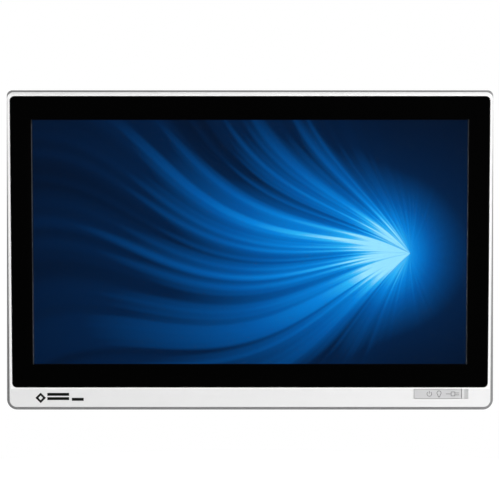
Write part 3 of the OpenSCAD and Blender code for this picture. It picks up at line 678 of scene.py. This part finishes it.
# Radius of the edges of each visible moulding or pressing, in millimetres
EDGE_RADIUS = {
    "front_bezel": 0.5, "mid_frame": 0.9, "rear_cover": 0.5, "cable_cover": 0.5, "drive_hatch": 0.4,
    "access_door": 0.25, "cover_glass": 0.25, "control_pocket": 0.2, "power_button": 0.35,
    "backlight_button": 0.35, "front_usb_port": 0.12, "solid_state_drive": 0.3, "blower_housing": 0.4,
    "vesa_bridge": 0.25, "io_bracket": 0.1, "lan_ports": 0.15, "dc_jack": 0.3, "serial_port": 0.15,
    "hatch_screws": 0.15, "case_screws": 0.15, "coin_cell": 0.3, "left_speaker": 0.6, "right_speaker": 0.6,
}


EDGE_SEGMENTS = 3
SHARP_EDGE = math.radians(38)
FLAT_EDGE = math.radians(0.5)


def soften(node, radius):
    """Joins a CAD mesh's faces at their edges and rounds the sharp ones."""
    weld = node.modifiers.new("weld", "WELD")
    weld.merge_threshold = 0.001 * MM
    flats = node.modifiers.new("flats", "DECIMATE")
    flats.decimate_type = "DISSOLVE"
    flats.angle_limit = FLAT_EDGE
    bevel = node.modifiers.new("edges", "BEVEL")
    bevel.width = radius
    bevel.segments = EDGE_SEGMENTS
    bevel.limit_method = "ANGLE"
    bevel.angle_limit = SHARP_EDGE
    bevel.harden_normals = True
    bevel.use_clamp_overlap = True


def dress(name, node):
    node.data.materials.clear()
    node.data.materials.append(FINISHES[name])
    if name in EDGE_RADIUS:
        soften(node, EDGE_RADIUS[name] * MM)


# ---------- outlines, as loops of (x, z) points ----------

def arc(centre, radius, start, end, steps=24):
    """Points on an arc, in degrees counted from +X towards +Z."""
    angles = [math.radians(start + (end - start) * i / steps) for i in range(steps + 1)]
    return [(centre[0] + radius * math.cos(a), centre[1] + radius * math.sin(a)) for a in angles]


def band(centre, radius, width, start, end):
    return arc(centre, radius + width / 2, start, end) + arc(centre, radius - width / 2, end, start)


def bar(x0, x1, z0, z1):
    return [(x0, z0), (x1, z0), (x1, z1), (x0, z1)]


def level_line(x0, x1, z, width):
    return bar(x0, x1, z - width / 2, z + width / 2)


def upright_line(x, z0, z1, width):
    return bar(x - width / 2, x + width / 2, z0, z1)


def slanted_line(start, end, width):
    start, end = Vector(start), Vector(end)
    along = (end - start).normalized()
    side = Vector((-along.y, along.x)) * width / 2
    return [tuple(point) for point in (start + side, start - side, end - side, end + side)]


def rounded(x0, x1, z0, z1, radius):
    corners = (((x1 - radius, z0 + radius), -90), ((x1 - radius, z1 - radius), 0),
               ((x0 + radius, z1 - radius), 90), ((x0 + radius, z0 + radius), 180))
    return [point for centre, start in corners for point in arc(centre, radius, start, start + 90, 6)]


# ---------- small pieces ----------

PRINT = 0.03 * MM


def extrude_loop(shape, loop, y_front, y_back):
    """A plate with this outline, between two depths."""
    front, back = [[shape.verts.new((x, y, z)) for x, z in loop] for y in (y_front, y_back)]
    shape.faces.new(front)
    shape.faces.new(back[::-1])
    for i in range(len(loop)):
        shape.faces.new((front[i - 1], back[i - 1], back[i], front[i]))


def add_piece(name, plates, material, body):
    """One piece made of plates, each an outline with its front and back depth."""
    shape = bmesh.new()
    for loop, y_front, y_back in plates:
        extrude_loop(shape, loop, y_front, y_back)
    bmesh.ops.recalc_face_normals(shape, faces=shape.faces)
    mesh = bpy.data.meshes.new(name)
    shape.to_mesh(mesh)
    shape.free()
    piece = bpy.data.objects.new(name, mesh)
    bpy.context.collection.objects.link(piece)
    mesh.materials.append(material)
    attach(piece, body)


DOOR_LINE = 0.62 * MM
BUTTON_LINE = DOOR_LINE * 0.7


def power_loops(x, z, radius, line):
    """A ring that is open at the top, with an upright line in the gap."""
    return [band((x, z), radius, line, 128, 412),
            upright_line(x, z + radius * 0.15, z + radius * 1.25, line)]


def lamp_loops(x, z, radius, line):
    """A globe, the two sides of its neck and two lines for its base."""
    globe = (x, z + radius * 0.45)
    shoulder = z - radius * 0.35
    base = z - radius * 1.05
    neck = radius * 0.45
    return [band(globe, radius, line, -52, 232),
            slanted_line((x - radius * 0.64, shoulder), (x - neck, base), line),
            slanted_line((x + radius * 0.64, shoulder), (x + neck, base), line),
            bar(x - neck - line / 2, x + neck + line / 2, base - line, base),
            bar(x - neck * 0.7, x + neck * 0.7, base - line * 2.3, base - line * 1.5)]


def plug_loops(x, z, length, height, line):
    """A lead, the four sides of a plug's body and its two pins."""
    left, right = x - length * 0.12, x + length * 0.20
    half = height / 2
    pin = half * 0.42
    return [level_line(x - length / 2, left, z, line),
            bar(left, right, z + half - line, z + half),
            bar(left, right, z - half, z - half + line),
            bar(left, left + line, z - half, z + half),
            bar(right - line, right, z - half, z + half),
            level_line(right, x + length / 2, z + pin, line),
            level_line(right, x + length / 2, z - pin, line)]


def add_symbol(name, loops, material, body):
    """A symbol printed on the front of a body's node of the same name."""
    y = low(body).y
    add_piece(name, [(loop, y - PRINT, y + PRINT) for loop in loops], material, body)


def add_door_symbols():
    power_x = middle("power_button").x
    lamp_x = middle("backlight_button").x
    port_x = middle("front_usb_port").x
    symbols = {
        "door_power_symbol": power_loops(power_x, DOOR_Z, 2.6 * MM, DOOR_LINE),
        "door_lamp_symbol": lamp_loops(lamp_x, DOOR_Z, 2.3 * MM, DOOR_LINE),
        "door_port_symbol": plug_loops(port_x, DOOR_Z, 14.5 * MM, 5.0 * MM, DOOR_LINE),
    }
    for name, loops in symbols.items():
        add_symbol(name, loops, grey_print, "access_door")


def add_button_symbols():
    for button, loops in (("power_button", power_loops), ("backlight_button", lamp_loops)):
        centre = middle(button)
        symbol = loops(centre.x, centre.z, 0.875 * MM, BUTTON_LINE)
        add_symbol(button + "_symbol", symbol, white_print, button)


def add_lan_contacts():
    """Eight gilt contacts in each of the two LAN sockets."""
    count, pitch, width = 8, 1.02 * MM, 0.44 * MM
    socket_half = 8 * MM
    first, last = low("lan_ports"), high("lan_ports")
    z0, z1 = first.z + 3 * MM, first.z + 13 * MM
    y0, y1 = last.y - 4.2 * MM, last.y - 3.6 * MM
    plates = []
    for centre in (first.x + socket_half, last.x - socket_half):
        for i in range(count):
            x = centre + (i - (count - 1) / 2) * pitch
            plates.append((upright_line(x, z0, z1, width), y0, y1))
    add_piece("lan_contacts", plates, gold, "panel_pc")


def add_usb_contacts():
    """Four gilt contacts on the tongue of the front USB socket."""
    count, pitch, width = 4, 2.5 * MM, 1.0 * MM
    mouth = low("front_usb_port").y
    centre = middle("front_usb_port")
    z0, z1 = centre.z + 0.02 * MM, centre.z + 0.14 * MM
    plates = []
    for i in range(count):
        x = centre.x + (i - (count - 1) / 2) * pitch
        plates.append((upright_line(x, z0, z1, width), mouth + 2.6 * MM, mouth + 11 * MM))
    add_piece("usb_contacts", plates, gold, "panel_pc")


LABEL_X0, LABEL_X1 = -192 * MM, -122 * MM
LABEL_Z0, LABEL_Z1 = -58 * MM, -16 * MM
LABEL_CORNER = 3 * MM
LABEL_MARGIN = 4 * MM
LABEL_COLUMN = 26.15 * MM
RULE = 0.3 * MM
RULE_ROWS = 5
RULE_PITCH = 7.5 * MM


def add_rear_label():
    """A blank rating label: a silver plate with ruled fields and no lettering."""
    back = high("rear_cover").y
    plate = rounded(LABEL_X0, LABEL_X1, LABEL_Z0, LABEL_Z1, LABEL_CORNER)
    plates = [(plate, back - PRINT, back + 2 * PRINT)]
    add_piece("rating_label", plates, label_paper(), "panel_pc")
    rules = [upright_line(LABEL_X0 + LABEL_COLUMN, LABEL_Z0 + 5.7 * MM, LABEL_Z1 - 5.9 * MM, RULE)]
    for row in range(RULE_ROWS):
        z = LABEL_Z1 - 6 * MM - row * RULE_PITCH
        rules.append(level_line(LABEL_X0 + LABEL_MARGIN, LABEL_X1 - LABEL_MARGIN, z, RULE))
    plates = [(rule, back, back + 3 * PRINT) for rule in rules]
    add_piece("label_rules", plates, black_print, "panel_pc")


for node_name, node_object in nodes.items():
    dress(node_name, node_object)

add_camera()
add_lights()
add_world()
add_floor()
add_door_symbols()
add_button_symbols()
add_lan_contacts()
add_usb_contacts()
add_rear_label()

bpy.context.scene.view_settings.view_transform = "Standard"
